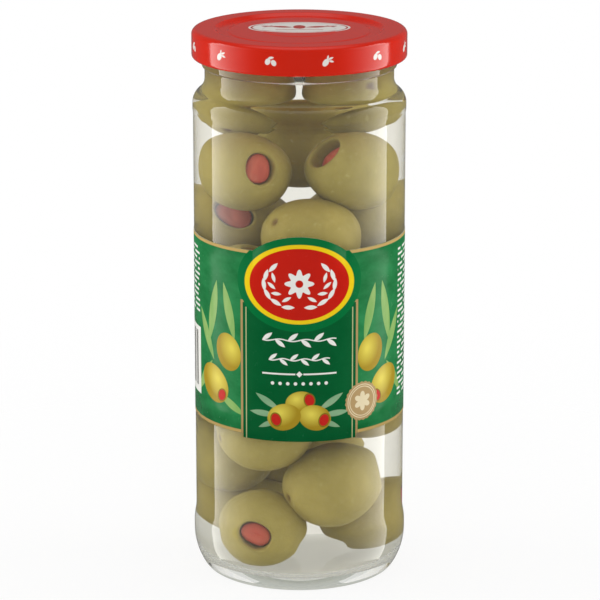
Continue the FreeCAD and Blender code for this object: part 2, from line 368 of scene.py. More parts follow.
inner = np.arange(len(glass_profile) - 1) > np.argmax(glass_profile[:, 1])
wall_radius, wall_height = glass_profile[1:].T
bands = np.where(inner & (wall_height < BRINE_TOP), 1, 0)
bands[~inner & ((wall_height < FOOT_HEIGHT) | (wall_radius < PUSH_UP_RADIUS))] = 2
glass_jar = lathe(
    "glass_jar_clear", glass_profile, [glass_clear, glass_wetted, glass_foot], bands
)

SUNK = 0.2  # how far the brine's skin lies within the wall
brine_profile = rounded_profile(
    [
        (0, FLOOR - SUNK, 0),
        (BODY_INSIDE + SUNK, FLOOR - SUNK, 9.0 + SUNK),
        (BODY_INSIDE + SUNK, SHOULDER_FOOT, 4.0 + SUNK),
        (NECK_INSIDE + SUNK, NECK_FOOT, 4.0 - SUNK),
        (NECK_INSIDE + SUNK, BRINE_TOP, 0.1),
        (0, BRINE_TOP, 0),
    ]
)
SHOULDER_REACH = 2.5  # how far past the shoulder's corners its own skin goes
brine_height = brine_profile[:-1, 1]
bands = (brine_height > BRINE_TOP - 0.01).astype(int)
past_foot = brine_height > SHOULDER_FOOT - SHOULDER_REACH
bands[past_foot & (brine_height < NECK_FOOT + SHOULDER_REACH)] = 2
brine = lathe("brine_fill", brine_profile, [brine_skin, brine_surface, brine_shoulder], bands)


# ---------------------------------------------------------------- olives


def inner_radius(height):
    """The cavity's radius at a height: the body's, the neck's, and a straight between."""
    return np.interp(height, [SHOULDER_FOOT - 3, NECK_FOOT + 3], [BODY_INSIDE, NECK_INSIDE])


# Each olive: heading and distance of its middle from the jar's axis, its height, the heading and
# slope of its pitted end, its length and width, how deep its pimiento lies, how much broader
# than round it is, and how strongly it keeps to its place while the heap settles. Heading 0 is
# the front, 90 is the right.
OLIVES = np.array(
    [
        # under the cap and in the neck
        (-101, 12.6, 142.3, 150, 50, 26.0, 22.8, 0.8, 0.0, 0.4),
        (101, 12.6, 142.6, 205, -15, 24.6, 23.2, 0.8, 0.0, 0.4),
        (178, 16.2, 124.5, 120, 30, 24.0, 22.0, 0.8, 0.0, 0.1),
        # above the wrap
        (-59, 16.0, 121.7, 19, 14, 25.5, 23.6, 0.3, 0.055, 0.5),
        (57, 15.9, 121.3, -50, 34, 25.5, 23.4, 2.4, 0.045, 0.5),
        (11, 15.8, 103.1, 122, -30, 26.4, 24.4, 0.8, 0.0, 0.5),
        (133, 15.8, 103.5, 170, 10, 26.5, 23.6, 0.8, 0.0, 0.2),
        (-128, 15.8, 102.0, -10, 25, 26.5, 23.6, 0.3, 0.0, 0.2),
        # behind the wrap
        (-35, 16.0, 85.0, 30, 60, 27.0, 23.6, 0.8, 0.0, 0.02),
        (-150, 16.0, 82.0, 180, -20, 26.5, 23.6, 0.8, 0.0, 0.02),
        (100, 16.0, 79.0, -60, 30, 26.5, 23.6, 0.8, 0.0, 0.02),
        (25, 16.0, 66.5, 140, 10, 26.5, 23.6, 0.8, 0.0, 0.02),
        (-85, 16.0, 63.0, 75, 50, 26.5, 23.6, 0.8, 0.0, 0.02),
        (175, 16.0, 61.0, 20, -35, 26.5, 23.6, 0.8, 0.0, 0.02),
        # below the wrap
        (-37, 15.9, 45.3, 95, 12, 25.5, 23.4, 0.8, 0.0, 0.5),
        (108, 16.0, 51.0, -100, 10, 26.0, 23.2, 0.8, 0.0, 0.3),
        (33, 15.5, 28.7, 112, 12, 26.0, 25.0, 0.8, 0.0, 0.5),
        (-108, 16.6, 35.0, 170, 70, 25.0, 22.4, 0.8, 0.0, 0.4),
        (196, 15.8, 33.5, 110, 20, 25.0, 22.6, 0.8, 0.0, 0.3),
        # on the floor
        (-36, 15.9, 15.9, -14, 2, 25.5, 23.0, 0.7, -0.03, 0.5),
        (102, 16.8, 14.7, 95, 20, 24.5, 21.4, 0.8, 0.0, 0.4),
        (-142, 16.4, 17.0, 100, 10, 23.0, 21.0, 0.8, 0.0, 0.3),
    ],
    float,
)
(
    HEADING,
    OUT,
    HEIGHT,
    PIT_HEADING,
    PIT_SLOPE,
    LENGTH,
    WIDTH,
    DEPTH,
    BREADTH,
    HOLD,
) = OLIVES.T
HOLE = 4.2  # radius of an olive's pitted hole
LIP = 1.1  # rounding of its edge
WELL = 4.6  # its depth
PUSH_ROUNDS = 400
WALL_GAP = 0.2
SURFACE_GAP = 0.6  # from the topmost olive up to the brine's surface


def toward(heading, slope):
    """Unit vectors at a heading from the front and a slope above level, both in degrees."""
    heading, slope = np.broadcast_arrays(np.radians(heading), np.radians(slope))
    flat = np.cos(slope)
    return np.stack([flat * np.sin(heading), -flat * np.cos(heading), np.sin(slope)], axis=-1)


def settled():
    """The olives' middles, once none overlaps another or the wall by much, and their axes.

    An olive is two balls of its half width w, set along its length so that their far sides are
    its length apart. Overlapping balls move apart by half of their overlap, a ball past the
    wall, the floor or the brine's surface moves back, and an olive moves by its balls' mean,
    then back towards its given place by its hold.
    """
    start = toward(HEADING, 0) * OUT[:, None]
    start[:, 2] = HEIGHT
    axis = toward(PIT_HEADING, PIT_SLOPE)
    reach = (LENGTH - WIDTH)[:, None] / 2 * axis
    radius = np.tile(WIDTH / 2, 2) - 0.1
    same = np.arange(len(radius)) % len(OLIVES)
    others = same[:, None] != same[None]
    middles = start.copy()
    for _ in range(PUSH_ROUNDS):
        balls = np.concatenate([middles + reach, middles - reach])
        apart = balls[:, None] - balls[None]
        distance = np.linalg.norm(apart, axis=-1) + 1e-9
        overlap = np.where(others, np.maximum(0, radius[:, None] + radius[None] - distance), 0)
        push = (apart / distance[..., None] * (overlap / 2)[..., None]).sum(axis=1)
        balls = balls + push * 0.5
        out = np.linalg.norm(balls[:, :2], axis=1)
        room = inner_radius(balls[:, 2]) - WALL_GAP - radius
        balls[:, :2] *= np.minimum(1, room / np.maximum(out, 1e-9))[:, None]
        balls[:, 2] = np.clip(balls[:, 2], FLOOR + radius, BRINE_TOP - SURFACE_GAP - radius)
        moved = (balls[: len(OLIVES)] + balls[len(OLIVES) :]) / 2
        middles = moved + HOLD[:, None] * (start - moved)
    return middles, axis


def olive_frames(axis):
    """Three unit vectors for each olive: two across it and its axis."""
    side = np.cross(axis, [0.31, 0.17, 0.94])
    side /= np.linalg.norm(side, axis=1, keepdims=True)
    return np.stack([side, np.cross(axis, side), axis], axis=1)


OLIVE_ROWS = 30
LIP_ROWS = 7
WELL_ROWS = 6
OLIVE_COLUMNS = 48


def olive_grid():
    """Skins of all olives, in their own axes, as one array (olive, row, column, xyz).

    From its stem end to its pitted end at angle t, a skin's radius is w sin t and its height
    -l cos t, for half its width and length. Where the radius comes down to the hole and its
    lip, a quarter circle turns in, and the well goes down to a flat floor. Slow waves in the
    heading, different for each olive, make it uneven, a small dent marks the stem, and an olive
    that is broader than round is spread along one side and drawn in along the other.
    """
    number = np.arange(len(OLIVES))[:, None, None]
    length = (LENGTH / 2)[:, None, None]
    width = (WIDTH / 2)[:, None, None]
    heading = (FULL_TURN * np.arange(OLIVE_COLUMNS) / OLIVE_COLUMNS)[None, None]
    mouth = HOLE + LIP
    last = math.pi - np.arcsin(mouth / width)
    share = np.linspace(0, 1, OLIVE_ROWS)[None, :, None]
    angle = 0.02 + (last - 0.02) * share
    radius = width * np.sin(angle)
    height = -length * np.cos(angle)
    lip_turn = np.linspace(0, 1, LIP_ROWS + 1)[None, 1:, None] * math.pi / 2
    lip_radius = mouth - LIP * np.sin(lip_turn) + 0 * length
    lip_height = height[:, -1:] - LIP * (1 - np.cos(lip_turn)) + 0.35 * np.sin(2 * lip_turn)
    down = np.linspace(0, 1, WELL_ROWS)[None, :, None]
    well_radius = HOLE * np.minimum(1, 2 * (1 - down)) + 0 * length
    well_radius = np.maximum(well_radius, 0.05)
    well_height = lip_height[:, -1:] - WELL * np.minimum(1, 2 * down + 0.1)
    radius = np.concatenate([radius, lip_radius, well_radius], axis=1)
    height = np.concatenate([height, lip_height, well_height], axis=1)
    body = np.clip(radius / width, 0, 1)
    waves = (
        0.022 * np.sin(2 * heading + 1.7 * number) * body
        + 0.014 * np.sin(3 * heading + 2.3 * number + 2.0 * height / length) * body
        + 0.010 * np.sin(5 * heading + 3.1 * number - 3.0 * height / length) * body
        + 0.016 * np.sin(2.6 * height / length + 1.3 * number)
    )
    oval = 0.12 * np.cos(2 * heading + number) * np.clip(1 - (radius - mouth) / 4, 0, 1)
    oval = oval * (height > 0)
    spread = radius * (1 + waves + oval)
    dent = 0.7 * np.exp(-((radius / 1.4) ** 2)) * (height < 0)
    broad = BREADTH[:, None, None]
    return np.stack(
        [
            spread * np.cos(heading) * (1 + broad),
            spread * np.sin(heading) * (1 - broad),
            height + dent + 0 * heading,
        ],
        axis=-1,
    )


def placed_parts(grids, axes, middles):
    """Closed grids, each in its own axes, as points in place and faces, and as plain points.

    A grid's first and last rows are closed by a pole at their mean.
    """
    low, high = (grids[:, end].mean(axis=1, keepdims=True) for end in (0, -1))
    count, rows, columns, _ = grids.shape
    own = np.concatenate([low, grids.reshape(count, -1, 3), high], axis=1)
    placed = np.einsum("opk,okx->opx", own, axes) + middles[:, None]
    faces = [ring_faces(rows, columns, number * own.shape[1]) for number in range(count)]
    quads, triangles = (np.concatenate(kind) for kind in zip(*faces))
    return placed.reshape(-1, 3), quads, triangles, own


PIMIENTO_ROWS = 12
PIMIENTO_COLUMNS = 32


def pimiento_grid(skins):
    """Strips of pimiento folded into the olives' wells, one array as for the skins.

    Each is a plug: a dome of height 1.1 (1 - s^3) out to radius s, a shallow bent crease
    exp(-(f / 0.8)^2) across it where the strip folds, and straight sides down into the well.
    """
    number = np.arange(len(OLIVES))[:, None, None]
    heading = (FULL_TURN * np.arange(PIMIENTO_COLUMNS) / PIMIENTO_COLUMNS)[None, None]
    share = np.linspace(0.04, 1, PIMIENTO_ROWS)[None, :, None]
    mouth = skins[:, OLIVE_ROWS + LIP_ROWS - 1, :, 2].mean(axis=1) - DEPTH
    oval = 1 + 0.12 * np.cos(2 * heading + number)
    spread = (HOLE - 0.4) * share * oval * (1 + 0.04 * np.sin(3 * heading + 2 * number))
    x = spread * np.cos(heading)
    y = spread * np.sin(heading)
    turn = 1.9 * number
    fold = x * np.cos(turn) + y * np.sin(turn) - 0.9 * np.sin(0.7 * y + number)
    dome = 1.1 * (1 - share**3) - 0.35 * np.exp(-((fold / 0.8) ** 2)) * (1 - share**4)
    top = np.stack([x, y, mouth[:, None, None] + 0.1 + dome], axis=-1)
    side = top[:, -1:].copy()
    side[..., 2] -= 2.0
    return np.concatenate([side, top[:, ::-1]], axis=1)


def olive_skin():
    """Green olive: mottled skin, pale flecks, a brown scar at the stem, and painted shade
    darkening the pitted end's lip and well.
    """
    material, paint = new_material("olive_skin")
    ends = paint.attribute("ends")
    tint = paint.attribute("tint")
    broad = paint.noise(70, detail=3.0, rough=0.6)
    fine = paint.noise(420, detail=4.0, rough=0.65)
    flecks = paint.noise(900, detail=1.0).ramp(0.66, 0.74)
    green = paint.mix(broad.ramp(0.3, 0.7), ink(163, 150, 76), ink(184, 169, 92))
    green = paint.mix(tint * 0.55, green, ink(176, 156, 78))
    green = paint.mix(fine.ramp(0.35, 0.75) * 0.35, green, ink(148, 136, 64))
    green = paint.mix(flecks * 0.4, green, ink(204, 194, 128))
    # painted shade: the lip and well round the pimiento are darkened towards a dull brown-green
    pitted = ends.ramp(0.38, 0.62, smooth=True)
    green = paint.mix(pitted * 0.7, green, ink(112, 98, 50))
    stem = (0 - ends).ramp(0.72, 0.95, smooth=True)
    green = paint.mix(stem * 0.8, green, ink(104, 66, 34))
    dimples = paint.bump(paint.noise(160, detail=3.0, rough=0.55), 0.55)
    pores = paint.bump(fine, 0.12, under=dimples)
    shader = paint.principled(
        Base_Color=green,
        Roughness=fine.ramp(0.2, 0.8) * 0.15 + 0.42,
        IOR=1.4,
        Specular_IOR_Level=0.18,
        Normal=pores,
    )
    paint.surface(shader)
    return material


def pimiento_flesh():
    """Red pepper flesh: uneven red with paler fibres."""
    material, paint = new_material("pimiento")
    fibres = paint.noise(500, detail=3.0, stretch=(1, 1, 0.3))
    broad = paint.noise(180, detail=2.0)
    red = paint.mix(broad.ramp(0.3, 0.7), ink(190, 76, 58), ink(208, 100, 76))
    red = paint.mix(fibres.ramp(0.55, 0.8) * 0.4, red, ink(226, 140, 108))
    normal = paint.bump(fibres, 0.15)
    paint.surface(
        paint.principled(Base_Color=red, Roughness=0.4, Specular_IOR_Level=0.25, Normal=normal)
    )
    return material


middles, axis = settled()
axes = olive_frames(axis)
skins = olive_grid()
placed, quads, triangles, own = placed_parts(skins, axes, middles)
olives = new_piece("olives_whole", placed, quads, triangles, [olive_skin()])
across = np.linalg.norm(own[..., :2], axis=-1)
ends = (np.sign(own[..., 2]) * np.exp(-across / 6)).reshape(-1)
tint = np.repeat(np.modf(0.618 * np.arange(1, len(OLIVES) + 1))[0], own.shape[1])
for attribute, numbers in (("ends", ends), ("tint", tint)):
    layer = olives.data.attributes.new(attribute, "FLOAT", "POINT")
    layer.data.foreach_set("value", numbers.astype(np.float32))
strips = placed_parts(pimiento_grid(skins), axes, middles)[:3]
pimiento = new_piece("pimiento_strips", *strips, [pimiento_flesh()])


# ---------------------------------------------------------------- cap

curl_turn = np.radians(np.arange(53, 361, 12.0))
curl = np.column_stack([29.8 + np.cos(curl_turn), LID_LOW + 1 + np.sin(curl_turn)])
lid_under = rounded_profile(
    [
        (0, LID_TOP - 1.3, 0),
        (23.0, LID_TOP - 1.3, 0.4),
        (24.2, LID_TOP - 0.4, 0.4),
        (30.4, LID_TOP - 0.4, 1.2),
        (30.4, LID_LOW + 1.8, 0),
    ]
)
lid_over = rounded_profile(
    [
        (30.8, LID_LOW + 1, 0),
        (30.8, LID_TOP, 1.6),
        (24.2, LID_TOP, 0.7),
        (23.0, LID_TOP - 0.9, 0.7),
        (20.6, LID_TOP - 0.9, 0.5),
        (20.0, LID_TOP - 0.72, 0.5),
        (10.8, LID_TOP - 0.72, 0.5),
        (10.2, LID_TOP - 0.6, 0.5),
        (0, LID_TOP - 0.6, 0),
    ]
)
lid_profile = np.concatenate([lid_under, curl[1:-1], lid_over])


def cover(distance, soft=0.07):
    """1 inside a printed shape and 0 outside, from the distance to its edge in millimetres."""
    return distance.math("MULTIPLY_ADD", -0.5 / soft, 0.5, clamp=True)


def spot(x, z, centre, half, turn=0):
    """The distance to an ellipse's edge: (|(u / a, v / b)| - 1) times its smaller half size."""
    u, v = own_axes(x, z, centre, turn)
    u, v = u / half[0], v / half[1]
    return (((u * u) + (v * v)) ** 0.5 - 1) * min(half)


def own_axes(x, z, centre, turn):
    """Coordinates along and across a shape at a centre, turned anticlockwise by degrees."""
    c, s = math.cos(math.radians(turn)), math.sin(math.radians(turn))
    along, up = x - centre[0], z - centre[1]
    if turn == 0:
        return along, up
    return along * c + up * s, up * c - along * s


def leaf(x, z, middle, half_length, half_width, turn):
    """The distance to a leaf's edge: |v| - w (1 - (u / l)^2), u along it and v across it."""
    u, v = own_axes(x, z, middle, turn)
    u = u / half_length
    return abs(v) + (u * u - 1) * half_width


def block(x, z, low, high):
    """The distance to a rectangle's edge, the larger of the two distances across it."""
    across = abs(x - (low[0] + high[0]) / 2) - (high[0] - low[0]) / 2
    up = abs(z - (low[1] + high[1]) / 2) - (high[1] - low[1]) / 2
    return across.high(up)


SPRIG_STEP = math.radians(30)
OVAL_BACK = 4.0  # how far behind the cap's middle its white oval lies


def enamel():
    """Red enamel with a white oval on the top and white sprigs round the skirt."""
    material, paint = new_material("red_enamel")
    x, y, z = paint.place()
    white = ink(236, 232, 226)
    red = paint.mix(paint.noise(35).ramp(0.35, 0.65) * 0.25, ink(212, 34, 10), ink(200, 30, 10))
    # top: a white oval with a red line and a sprig of two leaves and an olive
    upper = (z - (LID_TOP - 1.4)).ramp(0, 0.1)
    y = y - OVAL_BACK
    oval = spot(x, y, (0, 0), (14.6, 8.6))
    line = abs(spot(x, y, (0, 0), (13.7, 7.7))) - 0.16
    side = abs(x)
    sprig = leaf(side, y, (5.0, 0.4), 3.4, 1.15, 14).low(leaf(side, y, (9.0, 1.7), 2.2, 0.9, 22))
    sprig = sprig.low(spot(x, y, (0, 0.2), (1.8, 2.8))).low(abs(y + 4.2).high(side - 6.5) - 0.3)
    red_top = cover(line).high(cover(sprig))
    red = paint.mix(upper * cover(oval), red, white)
    red = paint.mix(upper * cover(oval) * red_top, red, ink(186, 40, 26))
    # skirt: the heading from the front in steps of 30 degrees, every second sprig another kind
    heading = x.math("ARCTAN2", -OVAL_BACK - y)
    part = (heading - SPRIG_STEP / 2).math("WRAP", SPRIG_STEP / 2, -SPRIG_STEP / 2)
    other = (heading - SPRIG_STEP).math("WRAP", SPRIG_STEP * 2, 0.0).ramp(
        SPRIG_STEP - 0.001, SPRIG_STEP + 0.001
    )
    u = part * 30.8
    v = z - (LID_LOW + 4.2)
    first = spot(u, v, (-0.7, -0.2), (1.15, 0.8), 55).low(leaf(u, v, (0.7, 0.9), 0.85, 0.3, 20))
    first = first.low(leaf(u, v, (0.9, 0.1), 0.8, 0.28, -15))
    first = first.low(leaf(u, v, (-0.1, 1.2), 0.7, 0.26, 80))
    second = spot(u, v, (-0.8, 0.0), (0.95, 0.75), 60)
    second = second.low(spot(u, v, (0.9, -0.3), (0.9, 0.7), 120))
    second = second.low(leaf(u, v, (0.1, 1.1), 0.9, 0.35, 10))
    shown = cover(second) * (1 - other) + cover(first) * other
    skirt = 1 - (z - (LID_TOP - 1.5)).ramp(0, 0.1)
    red = paint.mix(shown * skirt, red, white)
    scuff = paint.noise(900, detail=4.0, stretch=(1, 1, 0.2))
    rough = scuff.ramp(0.4, 0.8) * 0.06 + 0.1
    normal = paint.bump(paint.noise(60, detail=2.0), 0.06)
    normal = paint.bump(scuff, 0.004, under=normal)
    paint.surface(
        paint.principled(
            Base_Color=red,
            Roughness=rough,
            IOR=1.5,
            Normal=normal,
        )
    )
    return material


lid = lathe("lid_enamelled", lid_profile, [enamel()], columns=256)


# ---------------------------------------------------------------- wrap

WRAP_LOW = 47.7
WRAP_TOP = 102.1
PANEL_LOW = 46.5
HALF_WRAP = 178.0
PANEL_EDGE = 32.0
PLAQUE_MIDDLE = 93.3
PLAQUE_HALF = (17.4, 13.4)
WRAP_ROWS = 8


def wrap_sheet(name, materials):
    """The wrap as a thin closed sheet bent round the jar, its print facing out.

    At heading a it runs from low(a) to high(a): low drops at the centre panel, and high follows
    the oval z = m + b sqrt(1 - (R sin a / w)^2) where that stands above the straight edge. Each
    heading has a loop up the outside and down the inside, and the two end loops are closed.
    """
    jump = 0.02
    heading = np.arange(-HALF_WRAP, HALF_WRAP + 0.25, 0.5)
    heading = np.sort(np.append(heading, [-PANEL_EDGE - jump, PANEL_EDGE + jump]))
    low = np.where(np.abs(heading) <= PANEL_EDGE, PANEL_LOW, WRAP_LOW)
    chord = LABEL_RADIUS * np.sin(np.radians(heading)) / PLAQUE_HALF[0]
    facing = np.abs(heading) < 90
    rise = PLAQUE_HALF[1] * np.sqrt(np.clip(1 - chord**2, 0, None)) * facing
    high = np.maximum(WRAP_TOP, PLAQUE_MIDDLE + rise)
    share = np.linspace(0, 1, WRAP_ROWS)
    height = low[:, None] + (high - low)[:, None] * share[None]
    height = np.concatenate([height, height[:, ::-1]], axis=1)
    radius = np.repeat([LABEL_RADIUS, BODY_RADIUS - 0.05], WRAP_ROWS)[None]
    turn = np.radians(heading)[:, None]
    points = np.stack([radius * np.sin(turn), -radius * np.cos(turn), height], axis=-1)
    columns, loop = height.shape
    i = np.arange(columns - 1)[:, None] * loop
    j = np.arange(loop)
    k = (j + 1) % loop
    quads = np.stack([i + j, i + loop + j, i + loop + k, i + k], axis=-1).reshape(-1, 4)
    end = (columns - 1) * loop
    steps = np.arange(WRAP_ROWS - 1)
    mirror = loop - 1 - steps
    first_end = np.stack([steps, steps + 1, mirror - 1, mirror], axis=-1)
    last_end = end + first_end[:, ::-1]
    quads = np.concatenate([quads, first_end, last_end])
    outer = (np.arange(len(quads)) % loop < WRAP_ROWS - 1) & (np.arange(len(quads)) < end)
    piece = new_piece(
        name, points.reshape(-1, 3), quads, np.zeros((0, 3), int), materials, None, smooth=False
    )
    piece.data.polygons.foreach_set("material_index", np.where(outer, 0, 1).astype(np.int32))
    shades = outer | (np.arange(len(quads)) % loop >= WRAP_ROWS)
    piece.data.polygons.foreach_set("use_smooth", shades)
    return piece


GOLD = ink(204, 172, 106)
TAN = ink(176, 146, 96)
WHITE = ink(238, 238, 232)


def printed_olive(paint, base, x, z, centre, half, turn, hole):
    """A printed yellow olive with a shaded lower side and a red end, over the base colour."""
    edge = spot(x, z, centre, half, turn)
    light = spot(x, z, (centre[0] - 0.25 * half[0], centre[1] + 0.3 * half[1]), half, turn)
    yellow = paint.mix(light.ramp(-0.9 * min(half), 0.1), ink(224, 208, 84), ink(168, 140, 34))
    base = paint.mix(cover(edge), base, yellow)
    if hole:
        ring = spot(x, z, hole, (1.75, 1.35), turn + 90)
        base = paint.mix(cover(ring - 0.3), base, ink(126, 108, 30))
        base = paint.mix(cover(ring), base, ink(196, 38, 30))
    return base


def leaves(x, z, shapes):
    """The distance to the nearest of several leaves (middle, half length, half width, turn)."""
    nearest = None
    for middle, half_length, half_width, turn in shapes:
        one = leaf(x, z, middle, half_length, half_width, turn)
        nearest = one if nearest is None else nearest.low(one)
    return nearest


def wrap_print():
    """The wrap's print: green bands, gold rules, a red oval, olives, leaves and fine lines."""
    material, paint = new_material("label_print")
    source = paint.node("ShaderNodeUVMap", {"uv_map": "print"}).outputs[0]
    parts = paint.node("ShaderNodeSeparateXYZ", (), {0: source})
    x = Wire(paint, parts.outputs[0]) * 200 - 100
    z = Wire(paint, parts.outputs[1]) * 100 + 20
    side = abs(x)
    # mottled green field
    broad = paint.noise(110, detail=3.0, rough=0.6, stretch=(1, 1, 1.6))
    colour = paint.mix(broad.ramp(0.3, 0.7), ink(16, 108, 54), ink(40, 134, 76))
    # side pictures: leaves behind two olives, the same both sides
    u = side - 26.5
    blades = leaves(
        u,
        z,
        [
            ((-4.6, 83.0), 8.5, 1.5, 76),
            ((2.2, 82.0), 9.5, 1.7, 101),
            ((5.6, 74.5), 8.0, 1.5, 62),
            ((7.0, 61.5), 7.0, 1.4, -52),
            ((-5.4, 55.5), 5.5, 1.2, 28),
        ],
    )
    veins = paint.noise(300, stretch=(1, 1, 0.3))
    leaf_green = paint.mix(veins, ink(96, 158, 74), ink(168, 196, 120))
    colour = paint.mix(cover(blades), colour, leaf_green)
    colour = printed_olive(paint, colour, u, z, (-4.2, 71.0), (5.6, 4.6), 70, None)
    colour = printed_olive(paint, colour, u, z, (1.8, 60.5), (6.4, 5.2), 35, (-1.6, 57.6))
    # gold rules along both edges
    rules = (abs(z - (WRAP_TOP - 0.5)).low(abs(z - (WRAP_LOW + 0.5)))) - 0.45
    colour = paint.mix(cover(rules), colour, GOLD)
    # fine lines in blocks, where such a wrap carries its small print
    line = (z / 1.55).math("FRACT")
    ragged = (z / 1.55).math("FLOOR").math("SINE") * 43.7
    reach = ragged.math("FRACT") * 4.0
    strokes = cover(abs(line - 0.5) - 0.2, 0.08)
    gaps = ((x * 0.9 + ragged).math("SINE") + 0.75).ramp(0, 0.12)
    right = cover(block(x, z, (36.0, 54.0), (52.0, 99.0))) * (1 - (x + reach).ramp(52, 52.1))
    left = cover(block(x, z, (-52.0, 79.0), (-37.0, 99.0))) * (1 - (reach - x).ramp(52, 52.1))
    back = cover(block(side, z, (56.0, 52.0), (74.0, 90.0)))
    colour = paint.mix((right + left + back).low(1) * strokes * gaps, colour, WHITE)
    # a white block of upright bars, and a white table with thin rules
    bars_place = cover(block(x, z, (-52.0, 55.0), (-36.5, 75.0)))
    bars = ((x * 4.1).math("SINE") + (x * 1.7).math("SINE")).ramp(0.05, 0.15)
    bars = bars * cover(block(x, z, (-50.8, 57.0), (-37.7, 73.6)))
    colour = paint.mix(bars_place, colour, WHITE)
    colour = paint.mix(bars, colour, ink(24, 24, 24))
    table = block(side, z, (78.0, 50.5), (92.0, 99.0))
    ruled = cover(abs((z / 3.2).math("FRACT") - 0.5) - 0.05, 0.02)
    ruled = ruled.high(cover(abs(table + 0.7) - 0.15))
    colour = paint.mix(cover(table), colour, WHITE)
    colour = paint.mix(cover(table) * ruled, colour, ink(40, 44, 40))
    # centre panel with its two frames
    deep = paint.mix(broad.ramp(0.3, 0.7) * 0.5, ink(0, 88, 43), ink(8, 98, 52))
    panel = side - 17.6
    colour = paint.mix(cover(panel.high(z - 87.4)), colour, deep)
    outer_line = (abs(side - 17.25) - 0.35).high(z - 87.4)
    turned_in = block(side, z, (13.6, 86.7), (17.6, 87.4))
    inner_line = (abs(side - 15.8) - 0.15).high(z - 85.4)
    colour = paint.mix(cover(outer_line.low(turned_in)), colour, TAN)
    colour = paint.mix(cover(inner_line), colour, ink(186, 192, 140))
    # green surround, gold line and red oval
    surround = spot(x, z, (0, PLAQUE_MIDDLE), (18.6, 14.2))
    colour = paint.mix(cover(surround.high(78.0 - z)), colour, ink(0, 112, 56))
    rim = spot(x, z, (0, PLAQUE_MIDDLE - 0.4), (16.2, 11.6))
    colour = paint.mix(cover(rim), colour, ink(240, 206, 24))
    red = paint.mix(paint.noise(160, detail=2.0), ink(204, 32, 16), ink(190, 28, 16))
    colour = paint.mix(cover(rim + 1.15), colour, red)
    # ornament on the oval: a wreath of leaves round a flower of eight petals
    outer = ((-1.25, 2), (-0.85, 30), (-0.45, 58), (-0.05, 82), (0.35, 108), (0.75, 134))
    inner = ((-1.1, -28), (-0.6, 4), (-0.1, 40), (0.4, 74))
    wreath = [
        ((wide * math.cos(t), PLAQUE_MIDDLE - 0.4 + tall * math.sin(t)), length, width, turn)
        for wide, tall, length, width, row in (
            (10.2, 7.0, 1.9, 0.62, outer),
            (8.0, 4.9, 1.5, 0.5, inner),
        )
        for t, turn in row
    ]
    rise = z - (PLAQUE_MIDDLE - 0.2)
    away = ((x * x) + (rise * rise)) ** 0.5
    flower = away - 3.4 - (rise.math("ARCTAN2", x) * 8).math("COSINE") * 0.8
    crest = leaves(side, z, wreath).low(flower.high(1.1 - away))
    colour = paint.mix(cover(crest), colour, WHITE)
    # white garlands, a rule and dots in the middle of the panel
    garland = None
    for middle, size in ((76.6, 1.0), (70.9, 0.82)):
        steps = (-2.5, -1.5, -0.5, 0.5, 1.5, 2.5)
        shapes = [
            ((3.7 * size * k, middle + 0.9 * size * (1, -1)[n % 2]), 1.9 * size, 0.62 * size, turn)
            for n, k in enumerate(steps)
            for turn in [(38, -38)[n % 2]]
        ]
        stem = abs(z - middle - (x / (1.2 * size)).math("SINE") * 0.3)
        stem = stem.high(side - 10.5 * size) - 0.17
        row = leaves(x, z, shapes).low(stem)
        garland = row if garland is None else garland.low(row)
    rule = abs(z - 66.6).high(side - 10.5).high(1.4 - side) - 0.24
    diamond = side + abs(z - 66.6) - 0.9
    dots = spot((side / 2.2).math("FRACT") * 2.2, z, (1.1, 63.8), (0.5, 0.5)).high(side - 8.8)
    colour = paint.mix(cover(garland.low(rule).low(diamond).low(dots)), colour, WHITE)
    # picture of three olives on a spray of leaves
    spray = leaves(
        side,
        z,
        [
            ((9.2, 58.2), 4.2, 0.95, 32),
            ((10.6, 54.6), 4.0, 0.9, 4),
            ((8.6, 51.8), 3.6, 0.8, -24),
        ],
    )
    pale_green = paint.mix(broad, ink(96, 150, 110), ink(160, 190, 150))
    colour = paint.mix(cover(spray), colour, pale_green)
    colour = printed_olive(paint, colour, x, z, (0.2, 58.2), (4.2, 3.3), 12, (2.9, 58.9))
    colour = printed_olive(paint, colour, x, z, (4.5, 53.6), (4.7, 3.7), -18, (7.1, 52.8))
    colour = printed_olive(paint, colour, x, z, (-4.4, 53.8), (4.9, 3.9), 16, (-6.7, 53.0))
    # plain tan seal with two rings and a scalloped edge
    u, v = own_axes(x, z, (19.3, 57.0), 0)
    scallop = (v.math("ARCTAN2", u) * 24).math("SINE") * 0.12
    seal = ((u * u) + (v * v)) ** 0.5
    colour = paint.mix(cover(seal - 5.7 - scallop), colour, ink(178, 150, 104))
    rings = abs(seal - 4.9).low(abs(seal - 4.3)) - 0.12
    petals = (v.math("ARCTAN2", u) * 3).math("SINE")
    rings = rings.low(seal - 1.6 - abs(petals) * 1.3)
    colour = paint.mix(cover(rings), colour, ink(226, 212, 176))
    paper = paint.noise(700, detail=4.0, rough=0.6)
    normal = paint.bump(paper, 0.012)
    paint.surface(
        paint.principled(
            Base_Color=colour,
            Roughness=paper.ramp(0.3, 0.7) * 0.08 + 0.2,
            IOR=1.5,
            Specular_IOR_Level=0.1,
            Normal=normal,
        )
    )
    return material


def wrap_back():
    """The wrap's unprinted side: pale fibrous paper that shows the brine's wet green."""
    material, paint = new_material("label_back")
    fibres = paint.noise(500, detail=4.0, rough=0.7, stretch=(1, 1, 0.4))
    tone = paint.mix(fibres.ramp(0.3, 0.7), ink(196, 196, 176), ink(214, 212, 194))
    normal = paint.bump(fibres, 0.02)
    paint.surface(paint.principled(Base_Color=tone, Roughness=0.7, Normal=normal))
    return material


